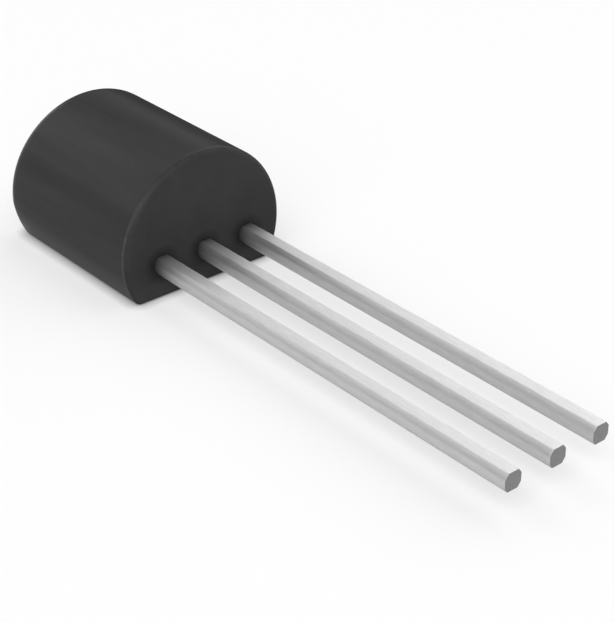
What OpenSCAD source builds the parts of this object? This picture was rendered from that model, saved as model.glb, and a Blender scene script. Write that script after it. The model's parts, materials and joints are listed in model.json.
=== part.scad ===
// Small-signal transistor in a TO-92 package, lying on its flat.
// The origin is the middle of the flat, +X runs along the leads and +Z up to the round back.
// Sizes are in millimetres.

/* [Body] */
// Diameter of the round back
body_d = 4.61; // [4.45:0.01:5.2]
// Depth from the flat to the crown of the round back
body_depth = 3.465; // [3.2:0.005:4.1]
// Length of the body along the leads, at the parting plane
body_length = 5.33; // [5:0.01:6.5]
// Radius along the two long edges of the flat
corner_r = 0.175; // [0.06:0.005:0.3]
// Radius of the edges round the face that the leads come out of
front_rim_r = 0.13; // [0.06:0.01:0.3]
// Radius of the edges round the far end
far_rim_r = 0.45; // [0.1:0.01:0.5]
// Mould draft of the far end on the round side, in degrees
draft_back = 5.5; // [2:0.1:8]
// Mould draft of the far end on the flat side, in degrees
draft_flat = 4; // [2:0.1:8]

/* [Leads] */
// Distance between the middles of neighbouring leads
lead_pitch = 1.27; // [1.14:0.01:1.4]
// Width of a lead
lead_w = 0.465; // [0.38:0.005:0.56]
// Thickness of the lead frame
lead_t = 0.45; // [0.35:0.005:0.5]
// Width that the bevels take off each side of a lead's broad faces
lead_bevel_w = 0.09; // [0.03:0.005:0.15]
// Height that the bevels take off each end of a lead's narrow faces
lead_bevel_t = 0.12; // [0.03:0.005:0.15]
// Length of the leads outside the body
lead_length = 11.5; // [2:0.1:20]
// Height of the middle of the leads over the flat
lead_height = 0.9; // [0.7:0.01:1.1]

/* [Lead frame inside the body] */
// Depth inside the body at which the base lead widens into its post
anchor_depth = 1.2; // [0.6:0.05:1.6]
// Length of a bond post
post_l = 0.7; // [0.4:0.05:0.9]
// Width of a bond post
post_w = 0.8; // [0.6:0.05:0.95]
// Slot between neighbouring pieces of the lead frame
slot_w = 0.35; // [0.2:0.05:0.5]
// Length of the flag that carries the die
flag_l = 2; // [1:0.05:2.2]

/* [Die] */
// Side of the square die
die_side = 0.5; // [0.3:0.01:0.9]
// Thickness of the die
die_t = 0.2; // [0.1:0.01:0.35]
// Thickness of the bond layer under the die
attach_t = 0.03; // [0.02:0.005:0.05]
// Width of the bond layer that shows round the die
attach_rim = 0.05; // [0.02:0.01:0.1]

/* [Bond wires] */
// Diameter of the wire
wire_d = 0.05; // [0.03:0.005:0.06]
// Diameter of the ball bonded to the die
ball_d = 0.12; // [0.08:0.01:0.14]
// Height of the ball
ball_h = 0.035; // [0.02:0.005:0.05]
// Straight rise of the wire over the ball
neck_h = 0.15; // [0.05:0.01:0.3]
// Radius of the bend over the neck, at the middle of the wire
bend_r = 0.12; // [0.08:0.01:0.2]
// Diameter of the pressed end on the post
stitch_d = 0.13; // [0.08:0.01:0.2]
// Height of the pressed end
stitch_h = 0.03; // [0.02:0.005:0.04]

/* [Hidden] */
$fn = 96;

// Cutting tools reach this far past what they cut
past = 1;
// The rounding tools meet the faces beside an edge at this angle, in degrees
edge_angle = 8;

EPOXY = [0.24, 0.24, 0.24];
TINNED = [0.8, 0.8, 0.79];
SILICON = [0.36, 0.38, 0.42];
BOND = [0.66, 0.66, 0.64];
GOLD = [0.86, 0.68, 0.3];

// Ends of the body and tips of the leads
front_x = body_length / 2;
far_x = -body_length / 2;
tip_x = front_x + lead_length;

// Round back, about an axis along X
back_r = body_d / 2;
axis_z = body_depth - back_r;

// Middle of the circle that rounds a long edge of the flat, set in from both faces
corner_z = inset(corner_r);
corner_y = sqrt(pow(back_r - corner_z, 2) - pow(axis_z - corner_z, 2));

// Lead frame
frame_top = lead_height + lead_t / 2;
emitter_y = lead_pitch;
base_y = 0;
collector_y = -lead_pitch;
post_x = front_x - anchor_depth - post_l / 2;
flag_x1 = front_x - anchor_depth - post_l - slot_w;
flag_x0 = flag_x1 - flag_l;
flag_y0 = collector_y - lead_w / 2;
flag_y1 = emitter_y - post_w / 2 - slot_w;
emitter_post_x = flag_x1 - post_l / 2;

// Die on the middle of the flag
die_x = (flag_x0 + flag_x1) / 2;
die_y = (flag_y0 + flag_y1) / 2;
die_z = frame_top + attach_t;
die_top = die_z + die_t;

// Bond wires: the middles of the two pads, a quarter of the die off its middle
pad_offset = die_side / 4;
base_pad = [die_x + pad_offset, die_y];
emitter_pad = [die_x, die_y + pad_offset];
// The straight run of a wire is drawn thinner than its neck, by this share
run_thinning = 0.04;
run_d = (1 - run_thinning) * wire_d;
// The straight run starts this far inside the bend
run_lap = wire_d / 5;

// Distance of a rounding circle's middle from the two faces beside its edge
function inset(r) = r * cos(edge_angle);

// Draws a section of the (y, z) plane out along X, from x0 to x1
module along_x(x0, x1) {
    translate([x0, 0, 0])
        rotate([90, 0, 90])
            linear_extrude(x1 - x0)
                children();
}

// Draws a side view in the (x, z) plane out along Y, past both sides of the body
module across_y() {
    translate([0, back_r + past, 0])
        rotate([90, 0, 0])
            linear_extrude(body_d + 2 * past)
                children();
}

// What a tool of radius r takes off an edge at the origin, with the solid on the side of -x and -y
module edge_waste(r) {
    translate([-inset(r), -inset(r)])
        difference() {
            square(inset(r) + past);
            circle(r = r);
        }
}

// What is rounded off the section where the round back meets the flat, on the side of +y
module corner_waste() {
    middle = [corner_y, corner_z];
    outward = (middle - [0, axis_z]) / norm(middle - [0, axis_z]);
    difference() {
        polygon([
            middle,
            [corner_y, -past],
            [corner_y + 2 * past, -past],
            middle + (corner_r + past) * outward
        ]);
        translate(middle)
            circle(r = corner_r);
    }
}

module body_section() {
    difference() {
        translate([0, axis_z])
            circle(r = back_r);
        translate([-body_d, -2 * body_d])
            square(2 * body_d);
        for (side = [0, 1])
            mirror([side, 0])
                corner_waste();
    }
}

// Side view of the room that the mould leaves: the far end leans in on both sides of the parting plane
module mould_profile() {
    top_z = body_depth + past;
    polygon([
        [front_x, -past],
        [front_x, top_z],
        [far_x + (top_z - lead_height) * tan(draft_back), top_z],
        [far_x, lead_height],
        [far_x + (lead_height + past) * tan(draft_flat), -past]
    ]);
}

// Ring that rounds a rim of the round back, about a +Z axis that leans off the axis of the body
module rim_tool(r, lean = 0) {
    rotate_extrude()
        translate([back_r / cos(lean), 0])
            edge_waste(r);
}

module front_rim_tool() {
    translate([front_x, 0, axis_z])
        rotate([0, 90, 0])
            rim_tool(front_rim_r);
}

// The far end leans two ways from the parting plane. Each side has a ring that leans with it,
// and is centred on the round back where the rounding starts.
module far_rim_tools() {
    for (lean = [draft_back, -draft_flat])
        translate([far_x, 0, lead_height])
            rotate([0, lean, 0])
                translate([0, 0, (axis_z - lead_height) / cos(lean) + inset(far_rim_r) * tan(lean)])
                    rotate([0, -90, 0])
                        rim_tool(far_rim_r, lean);
}

module flat_edge_tools() {
    across_y() {
        translate([front_x, 0])
            mirror([0, 1])
                edge_waste(front_rim_r);
        translate([far_x + lead_height * tan(draft_flat), 0])
            rotate(draft_flat)
                rotate(180)
                    edge_waste(far_rim_r);
    }
}

module body_form() {
    difference() {
        intersection() {
            along_x(far_x - past, front_x + past)
                body_section();
            across_y()
                mould_profile();
        }
        front_rim_tool();
        far_rim_tools();
        flat_edge_tools();
    }
}

// Rectangle with bevelled corners
module lead_section() {
    half_w = lead_w / 2;
    half_t = lead_t / 2;
    broad = half_w - lead_bevel_w;
    narrow = half_t - lead_bevel_t;
    polygon([
        [broad, half_t], [-broad, half_t],
        [-half_w, narrow], [-half_w, -narrow],
        [-broad, -half_t], [broad, -half_t],
        [half_w, -narrow], [half_w, narrow]
    ]);
}

// Straight run of a lead from inner_x inside the body to the tip
module shank(y, inner_x) {
    translate([0, y, lead_height])
        along_x(inner_x, tip_x)
            lead_section();
}

// Flat of the lead frame between two corners of its plan
module frame_plate(x0, x1, y0, y1) {
    translate([x0, y0, lead_height - lead_t / 2])
        cube([x1 - x0, y1 - y0, lead_t]);
}

module post(x, y) {
    frame_plate(x - post_l / 2, x + post_l / 2, y - post_w / 2, y + post_w / 2);
}

// All that the epoxy is moulded round
module inner_pieces() {
    emitter_lead();
    base_lead();
    collector_lead();
    die_attach();
    die();
    base_wire();
    emitter_wire();
}

module body() {
    color(EPOXY)
        difference() {
            body_form();
            union()
                inner_pieces();
        }
}

module emitter_lead() {
    color(TINNED) {
        shank(emitter_y, emitter_post_x);
        post(emitter_post_x, emitter_y);
    }
}

module base_lead() {
    color(TINNED) {
        shank(base_y, post_x);
        post(post_x, base_y);
    }
}

module collector_lead() {
    color(TINNED) {
        shank(collector_y, flag_x1 - lead_w);
        frame_plate(flag_x0, flag_x1, flag_y0, flag_y1);
    }
}

module die_attach() {
    side = die_side + 2 * attach_rim;
    color(BOND)
        translate([die_x - side / 2, die_y - side / 2, frame_top])
            cube([side, side, attach_t]);
}

module die() {
    color(SILICON)
        translate([die_x - die_side / 2, die_y - die_side / 2, die_z])
            cube([die_side, die_side, die_t]);
}

// Wire from a ball on the die up its neck, round a bend and straight down to its pressed end on a post
module bond_wire(pad, foot) {
    across = norm(foot - pad);
    bend_z = die_top + ball_h + neck_h;
    drop = bend_z - frame_top - run_d / 2;
    reach = norm([across - bend_r, drop]);
    run_l = sqrt(pow(reach, 2) - pow(bend_r, 2));
    slope = atan2(drop, across - bend_r) + asin(bend_r / reach);
    translate([pad.x, pad.y, 0])
        rotate([0, 0, atan2(foot.y - pad.y, foot.x - pad.x)]) {
            translate([0, 0, die_top]) {
                cylinder(d = ball_d, h = ball_h);
                cylinder(d = wire_d, h = ball_h + neck_h);
            }
            translate([bend_r, 0, bend_z])
                mirror([1, 0, 0])
                    rotate([90, 0, 0])
                        rotate_extrude(angle = 90 + slope)
                            translate([bend_r, 0])
                                circle(d = wire_d);
            translate([bend_r * (1 + sin(slope)), 0, bend_z + bend_r * cos(slope)])
                rotate([0, 90 + slope, 0])
                    translate([0, 0, -run_lap])
                        cylinder(d = run_d, h = run_lap + run_l);
            translate([across, 0, frame_top])
                cylinder(d = stitch_d, h = stitch_h);
        }
}

module base_wire() {
    color(GOLD)
        bond_wire(base_pad, [post_x, base_y]);
}

module emitter_wire() {
    color(GOLD)
        bond_wire(emitter_pad, [emitter_post_x, emitter_y]);
}

body();
emitter_lead();
base_lead();
collector_lead();
die();
die_attach();
base_wire();
emitter_wire();
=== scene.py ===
import json
import math

import bmesh
import bpy
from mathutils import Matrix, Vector


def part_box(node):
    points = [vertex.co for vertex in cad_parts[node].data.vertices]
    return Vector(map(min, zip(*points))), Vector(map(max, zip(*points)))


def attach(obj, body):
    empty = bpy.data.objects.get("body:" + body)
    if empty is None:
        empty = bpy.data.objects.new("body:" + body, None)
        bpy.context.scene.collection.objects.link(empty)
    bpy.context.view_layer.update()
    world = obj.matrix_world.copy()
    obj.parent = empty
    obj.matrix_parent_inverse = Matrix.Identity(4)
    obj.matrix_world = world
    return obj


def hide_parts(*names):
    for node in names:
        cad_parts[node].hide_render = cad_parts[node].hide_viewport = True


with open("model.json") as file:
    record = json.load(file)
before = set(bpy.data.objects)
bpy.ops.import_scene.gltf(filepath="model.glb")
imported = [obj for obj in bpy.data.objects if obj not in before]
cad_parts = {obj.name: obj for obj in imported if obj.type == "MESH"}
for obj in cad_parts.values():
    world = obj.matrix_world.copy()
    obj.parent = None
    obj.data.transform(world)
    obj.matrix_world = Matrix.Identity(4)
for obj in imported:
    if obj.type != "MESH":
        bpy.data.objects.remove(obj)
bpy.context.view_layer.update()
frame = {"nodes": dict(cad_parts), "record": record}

MM = 0.001

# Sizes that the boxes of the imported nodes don't give
CORNER_R = 0.175 * MM
FRONT_RIM_R = 0.13 * MM
FAR_RIM_R = 0.45 * MM
SHARPEST_CORNER_R = 0.03 * MM
DRAFT_BACK = math.radians(5.5)
DRAFT_FLAT = math.radians(4)
LEAD_BEVEL_W = 0.09 * MM
LEAD_BEVEL_T = 0.12 * MM
LEAD_EDGE_R = 0.02 * MM
TIP_EDGE_R = 0.008 * MM
POST_LENGTH = 0.7 * MM
FLAG_LENGTH = 2 * MM

# Sizes and places from the frame
tips = {m["name"]: Vector(m["pos_m"]) for m in frame["record"]["mounts"]}
body_low, body_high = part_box("body")
FRONT_X = body_high.x
FAR_X = body_low.x
BACK_R = (body_high.y - body_low.y) / 2
AXIS_Z = body_high.z - BACK_R
LEAD_HEIGHT = tips["base_tip"].z
LEAD_PITCH = tips["emitter_tip"].y - tips["base_tip"].y
LEAD_W = 2 * (tips["collector_tip"].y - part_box("collector_lead")[0].y)
LEAD_T = 2 * (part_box("base_lead")[1].z - LEAD_HEIGHT)

# How finely curves are drawn
BACK_STEPS = 216
CORNER_STEPS = 10
EDGE_STEPS = 4
FLAT_STEPS = 12
RIM_STEPS = 10
LENGTH_STEPS = 24
LEAD_STEPS = 80
SMOOTH_ANGLE = math.radians(28)

# How far off its place a point may be and still count as there
TOLERANCE = 0.001 * MM

# How far the straight stretch of the body stops short of the far rim, as a multiple of the far end's lean
FAR_LEAN_ROOM = 1.2

# The painted highlight line at the front rim: its middle at the height of the flat, its lean, its width and
# its patches
HIGHLIGHT_MIDDLE = FRONT_X - 0.225 * MM
HIGHLIGHT_LEAN = 0.052
HIGHLIGHT_WIDTH = 0.13 * MM
HIGHLIGHT_PATCHES = 0.15 * MM

# How much paler the painted highlight line is, the least share of that, and the line's shape from side to
# side
RIM_HIGHLIGHT = 0.042
LEAST_HIGHLIGHT_SHARE = 0.4
HIGHLIGHT_SHAPE = [(0, 0), (0.5, 1), (1, 0)]

# What the painted highlight line changes to at the top, where it is painted shade, darker and not paler, and
# between which heights
TOP_HIGHLIGHT_SHARE = -0.35
HIGHLIGHT_FADE_LOW = 2 * MM
HIGHLIGHT_FADE_HIGH = 3.3 * MM

# The resin's grey in the dark and in the pale spots of its grain
RESIN_DARK = 0.0365
RESIN_PALE = 0.0395

# Painted shade round each lead exit: how dark the resin is where it meets a lead, and how far from the lead
# that fades
PAINTED_EXIT_SHADE = 0.5
PAINTED_EXIT_SHADE_WIDTH = 0.3 * MM

# Painted light: how much paler the front face gets away from the leads, between which distances, and towards
# the flat
PAINTED_EDGE_LIGHT = 0.2
PAINTED_EDGE_LIGHT_START = 0.7 * MM
PAINTED_EDGE_LIGHT_END = 1.6 * MM
PAINTED_LOW_LIGHT = 0.45

# Painted shade: how much darker the back gets towards the flat, and between which heights
PAINTED_LOW_SHADE = 0.24
PAINTED_LOW_SHADE_START = 0.25 * MM
PAINTED_LOW_SHADE_END = 1 * MM

# Painted reflection bands: how strong and wide the resin's streaks are, their share on the front face, and
# which pattern they take
PAINTED_REFLECTION_STREAKS = 0.006
STREAK_WIDTH = 0.6 * MM
STREAKS_ON_FRONT = 0.3
STREAK_SHIFT = 90 * MM

# How far the streaks in resin and tin are drawn out along the part
DRAWN_OUT = (12, 1, 1)

# Painted shade where a lead leaves the body: how much darker the tin is there, the fade's length, and how
# many such lengths it runs
TIN_EXIT_PAINTED_SHADE = 0.75
TIN_EXIT_FADE = 0.38 * MM
TIN_EXIT_FADES = 5

# How much the marks in the tin change its brightness
TIN_MOTTLE = 0.06

# Painted light and shade on the tin's own grey: how bright the tin is from the lowest to the highest face of
# a lead: share of the height and brightness
TIN_PAINTED_LIGHT_BY_HEIGHT = [(0, 0.34), (0.2, 0.48), (0.32, 0.57), (0.55, 0.62), (0.8, 0.56), (1, 0.7)]

# What counts as the middle of a noise
NOISE_LOW = 0.3
NOISE_HIGH = 0.7


def arc(centre, radius, start, end, steps):
    """Points (y, z) of an arc, without its last point. Angles are from +Y towards +Z."""
    turns = [start + (end - start) * k / steps for k in range(steps)]
    return [(centre[0] + radius * math.cos(a), centre[1] + radius * math.sin(a)) for a in turns]


def line(start, end, steps):
    """Points (y, z) of a straight stretch, without its last point."""
    shares = [k / steps for k in range(steps)]
    return [tuple(a + (b - a) * s for a, b in zip(start, end)) for s in shares]


def body_outline(inset):
    """Section of the body, drawn in all round by inset: the flat, a corner, the round back and a corner."""
    corner_r = max(CORNER_R - inset, SHARPEST_CORNER_R)
    corner_z = inset + corner_r
    corner_y = math.sqrt((BACK_R - inset - corner_r) ** 2 - (AXIS_Z - corner_z) ** 2)
    lean = math.atan2(corner_z - AXIS_Z, corner_y)
    return (
        line((-corner_y, inset), (corner_y, inset), FLAT_STEPS)
        + arc((corner_y, corner_z), corner_r, -math.pi / 2, lean, CORNER_STEPS)
        + arc((0, AXIS_Z), BACK_R - inset, lean, math.pi - lean, BACK_STEPS)
        + arc((-corner_y, corner_z), corner_r, math.pi - lean, 1.5 * math.pi, CORNER_STEPS)
    )


def lead_faces():
    """The eight faces round a lead, and the first again: turn from +Y to +Z, and distance from the middle."""
    bevel_turn = math.atan2(LEAD_BEVEL_W, LEAD_BEVEL_T)
    bevel_low = LEAD_T / 2 - LEAD_BEVEL_T
    bevel_out = LEAD_W / 2 * math.cos(bevel_turn) + bevel_low * math.sin(bevel_turn)
    faces = []
    for start in (0, math.pi):
        faces.append((start, LEAD_W / 2))
        faces.append((start + bevel_turn, bevel_out))
        faces.append((start + math.pi / 2, LEAD_T / 2))
        faces.append((start + math.pi - bevel_turn, bevel_out))
    return faces + [(2 * math.pi, LEAD_W / 2)]


def lead_outline(inset, y, z):
    """Section of a lead about (y, z), with its edges rounded, drawn in all round by inset."""
    radius = LEAD_EDGE_R - inset
    faces = lead_faces()
    points = []
    for (turn, out), (next_turn, next_out) in zip(faces, faces[1:]):
        near = out - LEAD_EDGE_R
        next_near = next_out - LEAD_EDGE_R
        apart = math.sin(next_turn - turn)
        edge_y = y + (near * math.sin(next_turn) - next_near * math.sin(turn)) / apart
        edge_z = z + (next_near * math.cos(turn) - near * math.cos(next_turn)) / apart
        points += arc((edge_y, edge_z), radius, turn, next_turn, EDGE_STEPS)
        points.append((edge_y + radius * math.cos(next_turn), edge_z + radius * math.sin(next_turn)))
    return points


def rim(x, inward, radius):
    """Stations (x, inset) of a rounded rim, from the end face at x to where the rounding starts."""
    turns = [math.pi / 2 * k / RIM_STEPS for k in range(RIM_STEPS + 1)]
    return [(x + inward * radius * (1 - math.cos(t)), radius * (1 - math.sin(t))) for t in turns]


def between(start, end, steps):
    """Stations (x, inset) of a straight stretch, without its two ends."""
    return [(start + (end - start) * k / steps, 0) for k in range(1, steps)]


def loft(rings):
    """Closed mesh through rings of points, with a flat face at each end."""
    bm = bmesh.new()
    loops = [[bm.verts.new(p) for p in ring] for ring in rings]
    for here, there in zip(loops, loops[1:]):
        for k in range(len(here)):
            bm.faces.new((here[k - 1], here[k], there[k], there[k - 1]))
    bm.faces.new(loops[0])
    bm.faces.new(loops[-1])
    bmesh.ops.recalc_face_normals(bm, faces=bm.faces)
    return bm


def piece(name, bm):
    """A new object in the scene with that mesh."""
    mesh = bpy.data.meshes.new(name)
    bm.to_mesh(mesh)
    bm.free()
    made = bpy.data.objects.new(name, mesh)
    bpy.context.scene.collection.objects.link(made)
    return made


def combine(made, operation, others):
    """Joins the others' meshes to a piece, or cuts them from it."""
    for other in others:
        modifier = made.modifiers.new(operation, "BOOLEAN")
        modifier.operation = operation
        modifier.solver = "EXACT"
        modifier.object = other
    graph = bpy.context.evaluated_depsgraph_get()
    mesh = bpy.data.meshes.new_from_object(made.evaluated_get(graph))
    made.modifiers.clear()
    made.data = mesh


def finish_surface(made):
    """Smooth shading that keeps the flat faces flat and the hard edges hard."""
    made.data.polygons.foreach_set("use_smooth", [True] * len(made.data.polygons))
    made.data.set_sharp_from_angle(angle=SMOOTH_ANGLE)
    modifier = made.modifiers.new("flat_faces", "WEIGHTED_NORMAL")
    modifier.keep_sharp = True


def far_end_lean(z):
    """How far the drafted far end is drawn in at a height."""
    if z > LEAD_HEIGHT:
        return (z - LEAD_HEIGHT) * math.tan(DRAFT_BACK)
    return (LEAD_HEIGHT - z) * math.tan(DRAFT_FLAT)


def make_body():
    """The moulding without its lead holes, split at the height where the draft of its far end changes."""
    straight_end = FAR_X + FAR_RIM_R + FAR_LEAN_ROOM * far_end_lean(body_high.z)
    stations = (
        rim(FRONT_X, -1, FRONT_RIM_R)
        + between(FRONT_X - FRONT_RIM_R, straight_end, LENGTH_STEPS)
        + rim(FAR_X, 1, FAR_RIM_R)[::-1]
    )
    bm = loft([[(x, y, z) for y, z in body_outline(inset)] for x, inset in stations])
    everything = bm.verts[:] + bm.edges[:] + bm.faces[:]
    bmesh.ops.bisect_plane(bm, geom=everything, plane_co=(0, 0, LEAD_HEIGHT), plane_no=(0, 0, 1))
    for vert in bm.verts:
        if vert.co.x < FAR_X + FAR_RIM_R + TOLERANCE:
            vert.co.x += far_end_lean(vert.co.z)
    return piece("moulded_body", bm)


def make_plate(low, high):
    """A plain block between two corners."""
    bm = bmesh.new()
    bmesh.ops.create_cube(bm, size=1)
    for vert in bm.verts:
        vert.co = [h if c > 0 else l for c, l, h in zip(vert.co, low, high)]
    return piece("plate", bm)


def make_lead(name, node, tip, plate_length):
    """A lead with its post or flag, which is as wide as the node's box."""
    low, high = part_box(node)
    plate_end = low.x + plate_length
    inner_x = low.x + plate_length / 2
    stations = (
        [(inner_x, 0)]
        + between(inner_x, tip.x - TIP_EDGE_R, LEAD_STEPS)
        + rim(tip.x, -1, TIP_EDGE_R)[::-1]
    )
    rings = [[(x, y, z) for y, z in lead_outline(inset, tip.y, tip.z)] for x, inset in stations]
    made = piece(name, loft(rings))
    plate = make_plate(low, (plate_end, high.y, high.z))
    combine(made, "UNION", [plate])
    bpy.data.objects.remove(plate)
    return made


def shader_node(tree, kind, inputs=None, **settings):
    """A new node, with its inputs linked to sockets or set to values."""
    made = tree.nodes.new("ShaderNode" + kind)
    for key, value in settings.items():
        setattr(made, key, value)
    for key, value in (inputs or {}).items():
        if isinstance(value, bpy.types.NodeSocket):
            tree.links.new(value, made.inputs[key])
        else:
            made.inputs[key].default_value = value
    return made


def new_material(name):
    """An empty material and its node tree."""
    made = bpy.data.materials.new(name)
    made.use_nodes = True
    made.node_tree.nodes.clear()
    return made, made.node_tree


def object_place(tree):
    return shader_node(tree, "TexCoord").outputs["Object"]


def coordinates(tree, vector):
    return shader_node(tree, "SeparateXYZ", {0: vector}).outputs


def calculated(tree, operation, *values):
    """One step of arithmetic on sockets or numbers."""
    return shader_node(tree, "Math", dict(enumerate(values)), operation=operation).outputs[0]


def added(tree, first, second):
    return calculated(tree, "ADD", first, second)


def multiplied(tree, first, second):
    return calculated(tree, "MULTIPLY", first, second)


def noise(tree, size, stretch=(1, 1, 1), detail=3, shift=0):
    """Noise of about that size in metres, drawn out along the axes by stretch; shift picks its pattern."""
    scaled = shader_node(tree, "Mapping", {
        "Vector": object_place(tree),
        "Scale": [1 / s for s in stretch],
        "Location": (shift, 0, 0),
    })
    inputs = {"Vector": scaled.outputs["Vector"], "Scale": 1 / size, "Detail": detail}
    return shader_node(tree, "TexNoise", inputs).outputs["Fac"]


def ranged(tree, value, low, high, start=NOISE_LOW, end=NOISE_HIGH):
    """Low at start to high at end, and no further. Without start and end, the middle of a noise is taken."""
    inputs = {"Value": value, "From Min": start, "From Max": end, "To Min": low, "To Max": high}
    return shader_node(tree, "MapRange", inputs).outputs["Result"]


def grey(brightness):
    return (brightness, brightness, brightness, 1)


def ramp(tree, value, *stops):
    """A colour by value, from stops of a place and a grey or a colour."""
    made = shader_node(tree, "ValToRGB", {"Fac": value})
    elements = made.color_ramp.elements
    while len(elements) < len(stops):
        elements.new(1)
    for element, (place, colour) in zip(elements, stops):
        element.position = place
        element.color = (*colour, 1) if isinstance(colour, tuple) else grey(colour)
    return made.outputs["Color"]


def mottled(tree, value, dark, pale):
    """One grey or colour in the low spots of a noise and another in its high spots."""
    return ramp(tree, value, (NOISE_LOW, dark), (NOISE_HIGH, pale))


def bump(tree, height, distance):
    return shader_node(tree, "Bump", {"Height": height, "Distance": distance}).outputs["Normal"]


def surface(tree, inputs):
    shader = shader_node(tree, "BsdfPrincipled", inputs)
    shader_node(tree, "OutputMaterial", {"Surface": shader.outputs["BSDF"]})


def front_or_back(tree, on_front, on_back):
    """One value on the front face and another behind the front rim."""
    x = coordinates(tree, object_place(tree))["X"]
    return ranged(tree, x, on_back, on_front, FRONT_X - FRONT_RIM_R, FRONT_X)


def lead_distance(tree, from_middle_exit):
    """Distance to the middle of the nearest lead exit, from the place relative to the middle exit."""
    apart = coordinates(tree, from_middle_exit)
    side = calculated(tree, "ABSOLUTE", apart["Y"])
    past_outer = calculated(tree, "SUBTRACT", side, LEAD_PITCH)
    in_row = calculated(tree, "PINGPONG", side, LEAD_PITCH / 2)
    across = calculated(tree, "MAXIMUM", in_row, past_outer)
    to_nearest = shader_node(tree, "CombineXYZ", {0: apart["X"], 1: across, 2: apart["Z"]}).outputs[0]
    return shader_node(tree, "VectorMath", {0: to_nearest}, operation="LENGTH").outputs["Value"]


def painted_resin_shade(tree):
    """Painted shade and light on the resin: dark close to each lead, paler at the front face's edges and
    darker low on the back.
    """
    middle_exit = (FRONT_X, 0, LEAD_HEIGHT)
    place = object_place(tree)
    apart = shader_node(tree, "VectorMath", {0: place, 1: middle_exit}, operation="SUBTRACT").outputs[0]
    distance = lead_distance(tree, apart)
    painted_exit_shade = ranged(tree, distance, PAINTED_EXIT_SHADE, 1, LEAD_W / 2, LEAD_W / 2 + PAINTED_EXIT_SHADE_WIDTH)
    height = coordinates(tree, place)["Z"]
    # Painted light on the front face, paler away from the leads and towards the flat
    outwards = ranged(tree, distance, 0, PAINTED_EDGE_LIGHT, PAINTED_EDGE_LIGHT_START, PAINTED_EDGE_LIGHT_END)
    downwards = ranged(tree, height, PAINTED_LOW_LIGHT, 0, 0, LEAD_HEIGHT)
    painted_front_light = multiplied(tree, added(tree, outwards, downwards), front_or_back(tree, 1, 0))
    # Painted shade on the round back, darker towards the flat
    low = ranged(tree, height, PAINTED_LOW_SHADE, 0, PAINTED_LOW_SHADE_START, PAINTED_LOW_SHADE_END)
    painted_back_shade = multiplied(tree, low, front_or_back(tree, 0, 1))
    kept = calculated(tree, "SUBTRACT", 1, painted_back_shade)
    return multiplied(tree, multiplied(tree, painted_exit_shade, kept), added(tree, painted_front_light, 1))


def painted_rim_highlight(tree):
    """Painted highlight: paler resin on a narrow, uneven line along the front rim, which turns to painted
    shade at the top.
    """
    place = object_place(tree)
    leaning = shader_node(tree, "VectorMath", {0: place, 1: (1, 0, -HIGHLIGHT_LEAN)}, operation="DOT_PRODUCT")
    line_start = HIGHLIGHT_MIDDLE - HIGHLIGHT_WIDTH / 2
    across = ranged(tree, leaning.outputs["Value"], 0, 1, line_start, line_start + HIGHLIGHT_WIDTH)
    line_shape = ramp(tree, across, *HIGHLIGHT_SHAPE)
    amount = ranged(tree, noise(tree, HIGHLIGHT_PATCHES), LEAST_HIGHLIGHT_SHARE * RIM_HIGHLIGHT, RIM_HIGHLIGHT)
    height = coordinates(tree, place)["Z"]
    by_height = ranged(tree, height, 1, TOP_HIGHLIGHT_SHARE, HIGHLIGHT_FADE_LOW, HIGHLIGHT_FADE_HIGH)
    return multiplied(tree, multiplied(tree, line_shape, amount), by_height)


def epoxy():
    made, tree = new_material("epoxy")
    grain = noise(tree, size=0.05 * MM)
    # Streaks that stand in for reflected bands: painted reflection
    streak_noise = noise(tree, STREAK_WIDTH, stretch=DRAWN_OUT, detail=2, shift=STREAK_SHIFT)
    streak_share = front_or_back(tree, STREAKS_ON_FRONT, 1)
    streaks = multiplied(tree, ranged(tree, streak_noise, -PAINTED_REFLECTION_STREAKS, PAINTED_REFLECTION_STREAKS), streak_share)
    resin = added(tree, streaks, ranged(tree, grain, RESIN_DARK, RESIN_PALE))
    # Painted highlight along the front rim, with painted shade at its top
    resin_with_highlight = added(tree, resin, painted_rim_highlight(tree))
    # The base colour carries painted shade round the leads and low on the back, and painted light on the
    # front face
    surface(tree, {
        "Base Color": multiplied(tree, resin_with_highlight, painted_resin_shade(tree)),
        "Roughness": ranged(tree, grain, 0.2, 0.26),
        "Specular IOR Level": 0.035,
        "Normal": bump(tree, grain, distance=0.001 * MM),
    })
    return made


def painted_tin_shade(tree):
    """Painted light and shade on the tin: brightest on the upper flat, darker underneath and dark where a
    lead leaves the body.
    """
    apart = coordinates(tree, object_place(tree))
    fade_end = FRONT_X + TIN_EXIT_FADES * TIN_EXIT_FADE
    fade_lengths = ranged(tree, apart["X"], 0, -TIN_EXIT_FADES, FRONT_X, fade_end)
    near_body = calculated(tree, "EXPONENT", fade_lengths)
    at_body = ranged(tree, near_body, 1, 1 - TIN_EXIT_PAINTED_SHADE, 0, 1)
    lowest = LEAD_HEIGHT - LEAD_T / 2
    # Painted light on the upper flat and painted shade on the lower faces
    up = ranged(tree, apart["Z"], 0, 1, lowest, lowest + LEAD_T)
    return multiplied(tree, at_body, ramp(tree, up, *TIN_PAINTED_LIGHT_BY_HEIGHT))


def tin():
    made, tree = new_material("tin")
    grain = noise(tree, size=0.06 * MM)
    drawn = noise(tree, size=0.035 * MM, stretch=DRAWN_OUT)
    marks = ranged(tree, drawn, 1 - TIN_MOTTLE, 1 + TIN_MOTTLE)
    surface(tree, {
        # The base colour carries painted light on the upper flat and painted shade underneath and near the
        # body
        "Base Color": multiplied(tree, marks, painted_tin_shade(tree)),
        "Metallic": 1,
        "Roughness": ranged(tree, grain, 0.54, 0.62),
        "Anisotropic": 0.35,
        "Tangent": shader_node(tree, "Tangent", direction_type="RADIAL", axis="X").outputs[0],
        "Normal": bump(tree, drawn, distance=0.0008 * MM),
    })
    return made


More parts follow.
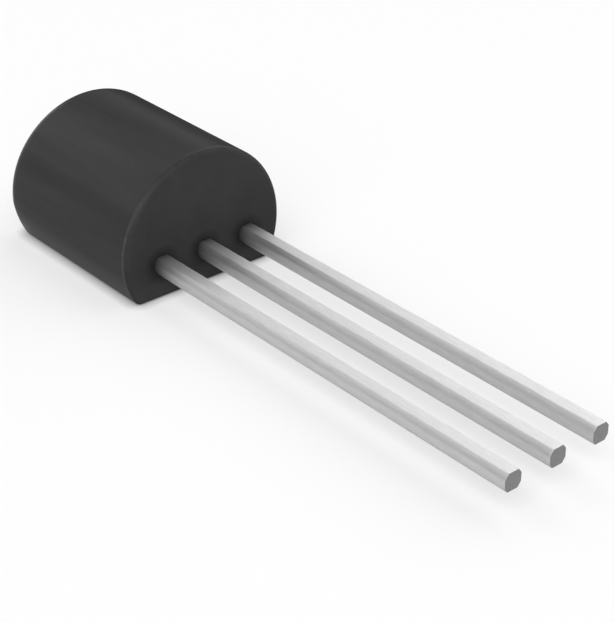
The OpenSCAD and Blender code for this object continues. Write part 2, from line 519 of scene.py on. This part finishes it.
def cut_metal():
    made, tree = new_material("cut_metal")
    tear = noise(tree, size=0.03 * MM, stretch=(1, 1, 6))
    surface(tree, {
        "Base Color": mottled(tree, tear, 0.22, 0.28),
        "Metallic": 1,
        "Roughness": ranged(tree, tear, 0.45, 0.6),
        "Normal": bump(tree, tear, distance=0.002 * MM),
    })
    return made


def silicon():
    made, tree = new_material("silicon")
    cell = noise(tree, size=0.08 * MM)
    surface(tree, {
        "Base Color": mottled(tree, cell, (0.09, 0.1, 0.13), (0.13, 0.14, 0.16)),
        "Metallic": 0.6,
        "Roughness": ranged(tree, cell, 0.12, 0.2),
    })
    return made


def bond_layer():
    made, tree = new_material("bond_layer")
    flakes = noise(tree, size=0.012 * MM)
    surface(tree, {
        "Base Color": mottled(tree, flakes, 0.33, 0.46),
        "Metallic": 0.5,
        "Roughness": ranged(tree, flakes, 0.5, 0.7),
        "Normal": bump(tree, flakes, distance=0.002 * MM),
    })
    return made


def gold():
    made, tree = new_material("gold")
    drawn = noise(tree, size=0.01 * MM)
    surface(tree, {
        "Base Color": mottled(tree, drawn, (0.68, 0.4, 0.075), (0.74, 0.44, 0.09)),
        "Metallic": 1,
        "Roughness": ranged(tree, drawn, 0.14, 0.24),
    })
    return made


def dress_lead(made, lead_finish, end_finish, tip):
    """Tin all over, apart from the cut face of the tip."""
    made.data.materials.clear()
    made.data.materials.append(lead_finish)
    made.data.materials.append(end_finish)
    for face in made.data.polygons:
        face.material_index = 1 if face.center.x > tip.x - TOLERANCE else 0


def dress(made, finish):
    """One finish all over."""
    made.data.materials.clear()
    made.data.materials.append(finish)
    for face in made.data.polygons:
        face.material_index = 0


# Leads: name of the piece, the node that it replaces, its tip, and the length of its post or flag
LEADS = [
    ("tinned_emitter_lead", "emitter_lead", tips["emitter_tip"], POST_LENGTH),
    ("tinned_base_lead", "base_lead", tips["base_tip"], POST_LENGTH),
    ("tinned_collector_lead", "collector_lead", tips["collector_tip"], FLAG_LENGTH),
]
lead_finish = tin()
end_finish = cut_metal()
leads = []
for name, node, tip, plate_length in LEADS:
    lead = make_lead(name, node, tip, plate_length)
    dress_lead(lead, lead_finish, end_finish, tip)
    finish_surface(lead)
    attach(lead, "root")
    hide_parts(node)
    leads.append(lead)

# Body, cut by the leads that it is moulded round
body = make_body()
combine(body, "DIFFERENCE", leads)
dress(body, epoxy())
finish_surface(body)
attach(body, "root")
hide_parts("body")

# Pieces inside the body, which keep their CAD meshes
dress(frame["nodes"]["die"], silicon())
dress(frame["nodes"]["die_attach"], bond_layer())
gold_finish = gold()
dress(frame["nodes"]["base_wire"], gold_finish)
dress(frame["nodes"]["emitter_wire"], gold_finish)


# Camera, which was fitted to the contours in the photo
PHOTO_LONG_SIDE = 622
CAMERA_AZIMUTH = math.radians(49.788)
CAMERA_ELEVATION = math.radians(30.056)
CAMERA_DISTANCE = 39.193 * MM
CAMERA_FOCUS_PIXELS = 1737
NEAREST_SEEN = 1 * MM
FARTHEST_SEEN = 10
AIM = Vector((6.679, -0.176, 0.985)) * MM


def direction(azimuth, elevation):
    """Unit vector from the object; azimuth 0 is towards -Y and 90 degrees towards +X."""
    flat = math.cos(elevation)
    return Vector((math.sin(azimuth) * flat, -math.cos(azimuth) * flat, math.sin(elevation)))


def face_back(made, back):
    """Turns a camera or light so that it looks the other way from back."""
    made.rotation_mode = "QUATERNION"
    made.rotation_quaternion = (-back).to_track_quat("-Z", "Y")


def make_camera():
    data = bpy.data.cameras.new("camera")
    data.lens = CAMERA_FOCUS_PIXELS * data.sensor_width / PHOTO_LONG_SIDE
    data.clip_start = NEAREST_SEEN
    data.clip_end = FARTHEST_SEEN
    made = bpy.data.objects.new("camera", data)
    back = direction(CAMERA_AZIMUTH, CAMERA_ELEVATION)
    made.location = AIM + back * CAMERA_DISTANCE
    face_back(made, back)
    bpy.context.scene.collection.objects.link(made)
    bpy.context.scene.camera = made


# Studio
FLOOR_RADIUS = 1
FLOOR_SIDES = 64
FLOOR_GREY = 0.35
FLOOR_GLOW = 0.53
CONTACT_SHADOW = 0.28 * MM
WORLD_LIGHT = 0.2
LIGHT_DISTANCE = 0.6

# Name, azimuth and elevation in degrees, width and height in metres, brightness
SOFTBOXES = [
    ("key", 175, 46, 1.2, 0.68, 1.62),
    ("side", 280, 13, 0.6, 0.28, 1.3),
    ("back", 297, 42, 0.34, 0.34, 1.7),
    ("fill", 40, 42, 0.56, 0.56, 3.55),
]

# Dark card behind the part
CARD_DISTANCE = 4.8 * MM
CARD_WIDTH = 9 * MM
CARD_HEIGHT = 3.9 * MM
CARD_AZIMUTH = math.radians(222)
CARD_GREY = 0.03


def seen_directly(tree, strength):
    """That strength for camera, glossy and transmission rays, and 0 for the rest."""
    path = shader_node(tree, "LightPath").outputs
    seen = path["Is Camera Ray"]
    for kind in ("Is Glossy Ray", "Is Transmission Ray"):
        seen = calculated(tree, "MAXIMUM", seen, path[kind])
    return multiplied(tree, seen, strength)


def make_world():
    world = bpy.data.worlds.new("studio")
    world.use_nodes = True
    tree = world.node_tree
    tree.nodes.clear()
    light = shader_node(tree, "Background", {"Color": grey(1), "Strength": WORLD_LIGHT})
    shader_node(tree, "OutputWorld", {"Surface": light.outputs[0]})
    bpy.context.scene.world = world


def floor_finish():
    """Grey that takes the part's shadow, with a glow that makes it white, except close under the part."""
    made, tree = new_material("floor")
    paint = shader_node(tree, "BsdfDiffuse", {"Color": grey(FLOOR_GREY)})
    # Painted contact shadow: ambient occlusion dims the glow close under the part
    open_above = shader_node(tree, "AmbientOcclusion", {"Distance": CONTACT_SHADOW}).outputs["Color"]
    strength = seen_directly(tree, FLOOR_GLOW)
    glow = shader_node(tree, "Emission", {"Color": open_above, "Strength": strength})
    white = shader_node(tree, "AddShader", {0: paint.outputs[0], 1: glow.outputs[0]})
    shader_node(tree, "OutputMaterial", {"Surface": white.outputs[0]})
    return made


def make_floor():
    bm = bmesh.new()
    bmesh.ops.create_circle(bm, cap_ends=True, radius=FLOOR_RADIUS, segments=FLOOR_SIDES)
    made = piece("floor", bm)
    made.data.materials.append(floor_finish())


def make_card():
    """A low dark card behind the part, seen only in reflections, which keeps the far contour dark."""
    middle = direction(CARD_AZIMUTH, 0) * CARD_DISTANCE
    along = middle.cross((0, 0, 1)).normalized() * CARD_WIDTH / 2
    up = Vector((0, 0, CARD_HEIGHT))
    corners = (middle - along, middle + along, middle + along + up, middle - along + up)
    bm = bmesh.new()
    bm.faces.new([bm.verts.new(p) for p in corners])
    made = piece("flag", bm)
    finish, tree = new_material("dark_card")
    card = shader_node(tree, "BsdfDiffuse", {"Color": grey(CARD_GREY)})
    shader_node(tree, "OutputMaterial", {"Surface": card.outputs[0]})
    made.data.materials.append(finish)
    made.visible_camera = False
    made.visible_diffuse = False
    made.visible_shadow = False


def softbox(name, azimuth, elevation, width, height, brightness):
    """An area light that faces the part and shows that brightness, where white paper shows 1."""
    data = bpy.data.lights.new(name, "AREA")
    data.shape = "RECTANGLE"
    data.size = width
    data.size_y = height
    data.energy = math.pi * width * height * brightness
    made = bpy.data.objects.new(name, data)
    back = direction(math.radians(azimuth), math.radians(elevation))
    made.location = back * LIGHT_DISTANCE
    face_back(made, back)
    made.visible_camera = False
    bpy.context.scene.collection.objects.link(made)


make_camera()
make_world()
make_floor()
make_card()
for softbox_values in SOFTBOXES:
    softbox(*softbox_values)

bpy.context.scene.view_settings.view_transform = "Standard"
